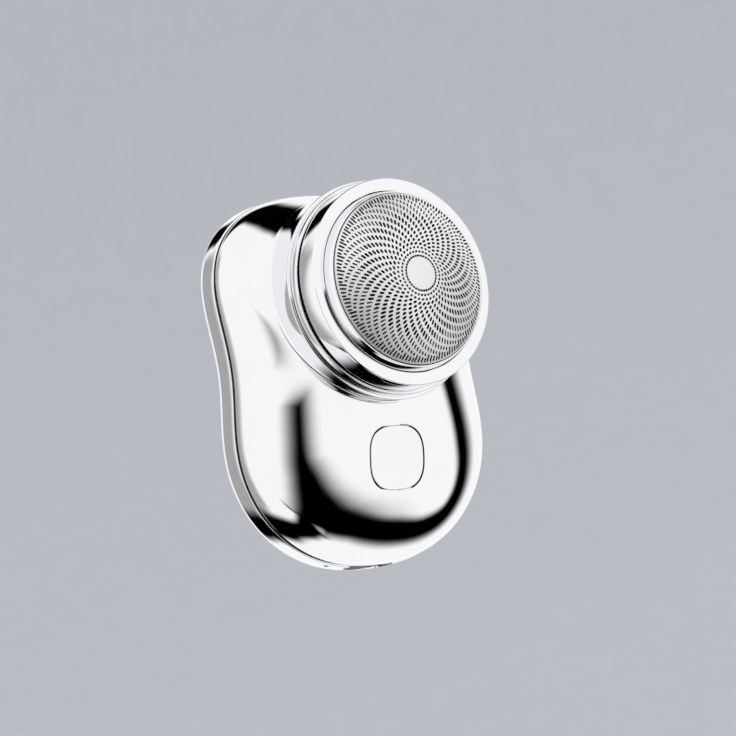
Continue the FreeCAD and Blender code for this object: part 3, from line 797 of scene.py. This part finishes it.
def add_foil():
    flat, sheet, slots, edge = foil_sheet()
    x, y = flat.T
    count = len(flat)
    lower = flat.copy()
    lower[edge] *= (FOIL_R - FOIL_T) / FOIL_R
    top = np.column_stack([flat, dome_height(x, y)])
    bottom = np.column_stack([lower, dome_height(lower[:, 0], lower[:, 1], FOIL_T)])
    points = [on_head(top), on_head(bottom)]
    faces = [tuple(f) for f in sheet] + [tuple(i + count for i in f)[::-1] for f in sheet]
    for slot in slots:
        for i, j in zip(slot, slot[1:] + slot[:1]):
            faces.append((i, j, j + count, i + count))
    rows = [(FOIL_R, -2.35), (16.0, -2.35), (16.0, -2.5), (FOIL_R - FOIL_T, -2.5)]
    for radius, height in rows:
        ring = np.array(circle(radius, TURNED_STEPS))
        points.append(on_head(np.column_stack([ring, np.full(TURNED_STEPS, height)])))
    starts = [edge]
    starts += [[2 * count + k * TURNED_STEPS + i for i in range(TURNED_STEPS)] for k in range(len(rows))]
    starts.append([i + count for i in edge])
    for here, there in zip(starts, starts[1:]):
        for i in range(TURNED_STEPS):
            j = (i + 1) % TURNED_STEPS
            faces.append((here[i], here[j], there[j], there[i]))
    piece = add_piece("slotted_foil", np.concatenate(points), faces, FOIL_STEEL, "head",
                      ["foil"])
    normals_from_dome(piece)
    return piece


def normals_from_dome(piece):
    """Gives the dome's two faces the exact normals of a ball, and leaves the slots' walls flat."""
    mesh = piece.data
    centre = on_head([[0.0, 0.0, FOIL_PEAK - DOME_R]])[0] * MM
    normals = []
    for face in mesh.polygons:
        for corner in face.loop_indices:
            place = np.array(mesh.vertices[mesh.loops[corner].vertex_index].co)
            ball = (place - centre) / np.linalg.norm(place - centre)
            facing = float(np.dot(ball, face.normal))
            if abs(facing) > 0.97:
                normals.append(tuple(math.copysign(1, facing) * ball))
            else:
                normals.append(tuple(face.normal))
    mesh.normals_split_custom_set(normals)


add_foil()

# %% [markdown]
# ## Floor and backdrop
# The shaver stands in the middle of a wide round bowl of matt card: a floor that curves up into a wall.
# With no corner behind it, the ground fades away evenly from every side. The chrome doesn't see the
# bowl, because it has surroundings of its own, which are hung further on.

# %% Bowl
FLOOR_Z, FLOOR_R, BOWL_R, BOWL_TOP = -0.105, 1.1, 1.8, 1.5


def add_bowl():
    profile = [(0.02, FLOOR_Z), (0.3, FLOOR_Z), (FLOOR_R, FLOOR_Z)]
    bend = BOWL_R - FLOOR_R
    for a in np.linspace(0, math.pi / 2, 12)[1:]:
        profile.append((FLOOR_R + bend * math.sin(a), FLOOR_Z + bend * (1 - math.cos(a))))
    profile.append((BOWL_R, BOWL_TOP))
    count = 96
    points = [(r * math.cos(2 * math.pi * i / count), r * math.sin(2 * math.pi * i / count), z)
              for r, z in profile for i in range(count)]
    mesh = bpy.data.meshes.new("backdrop")
    mesh.from_pydata(points, [], ring_faces(len(profile), count) + [tuple(range(count))[::-1]])
    mesh.shade_smooth()
    bowl = bpy.data.objects.new("backdrop", mesh)
    bpy.context.scene.collection.objects.link(bowl)
    card = grained("backdrop_card", (0.50, 0.51, 0.54), 0.85, 300, 0.1, 0.1, 5e-5, contrast=0.03)
    mesh.materials.append(card)
    bowl.visible_glossy = False
    return bowl


bowl = add_bowl()
print("bowl across:", 2 * BOWL_R, "m, faces:", len(bowl.data.polygons))

# %% [markdown]
# ## Light
# A mirror has no shade of its own: it shows its surroundings. So polished metal is lit from inside a
# white tent, and long black cards, with one grey card among them, hang between the tent and the piece.
# Where a card is seen in the casing, it draws a dark line that follows the shape, and its soft edge
# makes the line fade. Only reflections see the tent and the cards. The floor has its own soft lights.

# %% Soft lights
def aim(obj, target):
    direction = Vector(target) - obj.location
    obj.rotation_euler = direction.to_track_quat("-Z", "Y").to_euler()


def place_from(azimuth, elevation, distance):
    """A point seen from the origin; azimuth 0 is straight in front, and grows to the right."""
    a, e = math.radians(azimuth), math.radians(elevation)
    level = distance * math.cos(e)
    return (level * math.sin(a), -level * math.cos(a), distance * math.sin(e))


def soft_light(name, azimuth, elevation, distance, size, power):
    light = bpy.data.lights.new(name, "AREA")
    light.shape = "SQUARE"
    light.size = size
    light.energy = power
    lamp = bpy.data.objects.new(name, light)
    lamp.location = place_from(azimuth, elevation, distance)
    aim(lamp, (0, 0, 0))
    lamp.visible_camera = False
    lamp.visible_glossy = False
    bpy.context.scene.collection.objects.link(lamp)


soft_light("overhead", 0, 80, 1.2, 1.6, 20.0)
soft_light("left fill", -70, 35, 1.4, 1.0, 9.0)
soft_light("right fill", 60, 30, 1.4, 1.0, 9.0)

world = bpy.data.worlds.new("studio")
bpy.context.scene.world = world
world.use_nodes = True
world.node_tree.nodes["Background"].inputs["Color"].default_value = (0.9, 0.92, 0.96, 1.0)
world.node_tree.nodes["Background"].inputs["Strength"].default_value = 0.5
bpy.context.scene.view_settings.view_transform = "Standard"


# %% Glowing and black card
def card_material(name, brightness):
    """Glows evenly, and fades to nothing where the mesh's edge fade falls to 0."""
    material = bpy.data.materials.new(name)
    material.use_nodes = True
    tree = material.node_tree
    tree.nodes.clear()
    glow = tree.nodes.new("ShaderNodeEmission")
    glow.inputs["Strength"].default_value = brightness
    fade = tree.nodes.new("ShaderNodeAttribute")
    fade.attribute_name = "edge fade"
    clear = tree.nodes.new("ShaderNodeBsdfTransparent")
    mix = tree.nodes.new("ShaderNodeMixShader")
    tree.links.new(fade.outputs["Fac"], mix.inputs["Fac"])
    tree.links.new(clear.outputs["BSDF"], mix.inputs[1])
    tree.links.new(glow.outputs["Emission"], mix.inputs[2])
    out = tree.nodes.new("ShaderNodeOutputMaterial")
    tree.links.new(mix.outputs["Shader"], out.inputs["Surface"])
    return material


def hang(name, points, faces, fades, material):
    mesh = bpy.data.meshes.new(name)
    mesh.from_pydata(points, [], faces)
    mesh.attributes.new("edge fade", "FLOAT", "POINT").data.foreach_set("value", fades)
    mesh.materials.append(material)
    card = bpy.data.objects.new(name, mesh)
    bpy.context.scene.collection.objects.link(card)
    card.visible_camera = False
    card.visible_diffuse = False
    card.visible_transmission = False
    card.visible_shadow = False
    return card


# %% Tent
TENT_R, CARD_R = 1.0, 0.9


def hang_tent(brightness):
    rows, count = 24, 48
    points = [place_from(360 * i / count, -89.9 + 179.8 * k / rows, TENT_R)
              for k in range(rows + 1) for i in range(count)]
    faces = ring_faces(rows + 1, count)
    hang("white_tent", points, faces, [1.0] * len(points), card_material("white_tent", brightness))


hang_tent(1.02)
print("tent across:", 2 * TENT_R, "m")

# %% Curved cards
STEPS_PER_STOP, CARD_COLUMNS, END_STEPS = 12, 25, 8


def smooth_route(route):
    """A smooth curve through (azimuth, elevation, half-width) stops, as unit vectors and half-widths."""
    stops = np.array([place_from(a, e, 1.0) + (width,) for a, e, width in route])
    stops = np.vstack([2 * stops[0] - stops[1], stops, 2 * stops[-1] - stops[-2]])
    filled = []
    for p0, p1, p2, p3 in zip(stops, stops[1:], stops[2:], stops[3:]):
        for t in np.arange(STEPS_PER_STOP) / STEPS_PER_STOP:
            bend = (2 * p0 - 5 * p1 + 4 * p2 - p3) * t ** 2 + (3 * p1 - 3 * p2 + p3 - p0) * t ** 3
            filled.append(0.5 * (2 * p1 + (p2 - p0) * t + bend))
    filled = np.array(filled + [stops[-2]])
    middle = filled[:, :3] / np.linalg.norm(filled[:, :3], axis=1, keepdims=True)
    return middle, filled[:, 3]


def hang_card(name, route, soft_left, soft_right, depth=1.0):
    """A black card along a route of (azimuth, elevation, half-width) in degrees.

    It has its own softness on the left and on the right of the way it runs. A depth under 1 makes it grey.
    """
    middle, half_widths = smooth_route(route)
    ahead = np.gradient(middle, axis=0)
    across = np.cross(ahead, middle)
    across /= np.linalg.norm(across, axis=1, keepdims=True)
    points, fades = [], []
    wide = CARD_COLUMNS
    for k in range(len(middle)):
        from_end = min(k, len(middle) - 1 - k) / END_STEPS
        low, high = -half_widths[k] - soft_left, half_widths[k] + soft_right
        for angle in np.linspace(low, high, wide):
            turned_by = math.radians(angle)
            direction = middle[k] * math.cos(turned_by) - across[k] * math.sin(turned_by)
            points.append(tuple(direction * CARD_R))
            edge = min(1.0, (angle - low) / soft_left, (high - angle) / soft_right, from_end)
            fades.append(depth * edge * edge * (3 - 2 * edge))
    faces = [(k * wide + i, k * wide + i + 1, (k + 1) * wide + i + 1, (k + 1) * wide + i)
             for k in range(len(middle) - 1) for i in range(wide - 1)]
    hang(name, points, faces, fades, card_material(name, 0.0))


hang_card("front_card", [(-16, 14, 0), (-16, 6, 0.5), (-16, -5, 1), (-16, -15, 3), (-13, -25, 7),
                         (-10, -35, 11), (-5, -46, 17), (2, -56, 22), (8, -66, 20)], 34, 21)
hang_card("low_card", [(-20, -55, 9), (5, -52, 9), (25, -48, 8), (45, -46, 7), (62, -42, 6), (74, -32, 5),
                       (75, -22, 4), (71, -12, 3), (66, -2, 3), (62, 10, 2.5), (60, 20, 2)], 17, 6)
hang_card("back_card", [(-176, -16, 2), (-168, -28, 5), (-162, -38, 7), (-150, -50, 8), (-132, -60, 7),
                        (-100, -70, 6), (-65, -72, 7), (-35, -66, 9), (-10, -60, 10)], 9, 9)
hang_card("top_card", [(36, 47, 3), (40, 54, 7), (44, 64, 10), (70, 78, 11), (150, 72, 11), (170, 58, 10),
                       (175, 44, 9), (177, 32, 8), (178, 20, 4)], 7, 7)
hang_card("grey_side_card", [(-152, 40, 3), (-152, 20, 5), (-150, 0, 6), (-150, -20, 8),
                             (-154, -40, 9)], 8, 12, 0.6)

# %% [markdown]
# ## Camera
# The camera looks from the shaver's left, from a little below it, with a slight roll, through a long
# lens so that the head doesn't loom. Its aim is given from the middle of the button.

# %% Camera
CAMERA_LEFT, CAMERA_BELOW, CAMERA_ROLL = 35.3, 6.3, 7.3
VIEW_WIDTH, LENS, SENSOR = 121.4, 200.0, 36.0
AIM_RIGHT, AIM_UP = -4.92, 14.78


def add_camera():
    left, below, roll = (math.radians(a) for a in (CAMERA_LEFT, CAMERA_BELOW, CAMERA_ROLL))
    level_share = math.cos(below)
    back = np.array([-math.sin(left) * level_share, -math.cos(left) * level_share, -math.sin(below)])
    level = np.array([math.cos(left), -math.sin(left), 0.0])
    upright = np.cross(back, level)
    right = math.cos(roll) * level - math.sin(roll) * upright
    up = math.sin(roll) * level + math.cos(roll) * upright
    target = BUTTON_PLACE + AIM_RIGHT * right + AIM_UP * up
    place = target + back * LENS / SENSOR * VIEW_WIDTH
    lens = bpy.data.cameras.new("camera")
    lens.lens, lens.sensor_width = LENS, SENSOR
    lens.clip_start, lens.clip_end = 0.01, 20.0
    camera = bpy.data.objects.new("camera", lens)
    turn_matrix = Matrix((right, up, back)).transposed().to_4x4()
    camera.matrix_world = Matrix.Translation(place * MM) @ turn_matrix
    bpy.context.scene.collection.objects.link(camera)
    bpy.context.scene.camera = camera
    print("camera at", [round(v, 4) for v in place * MM])


add_camera()
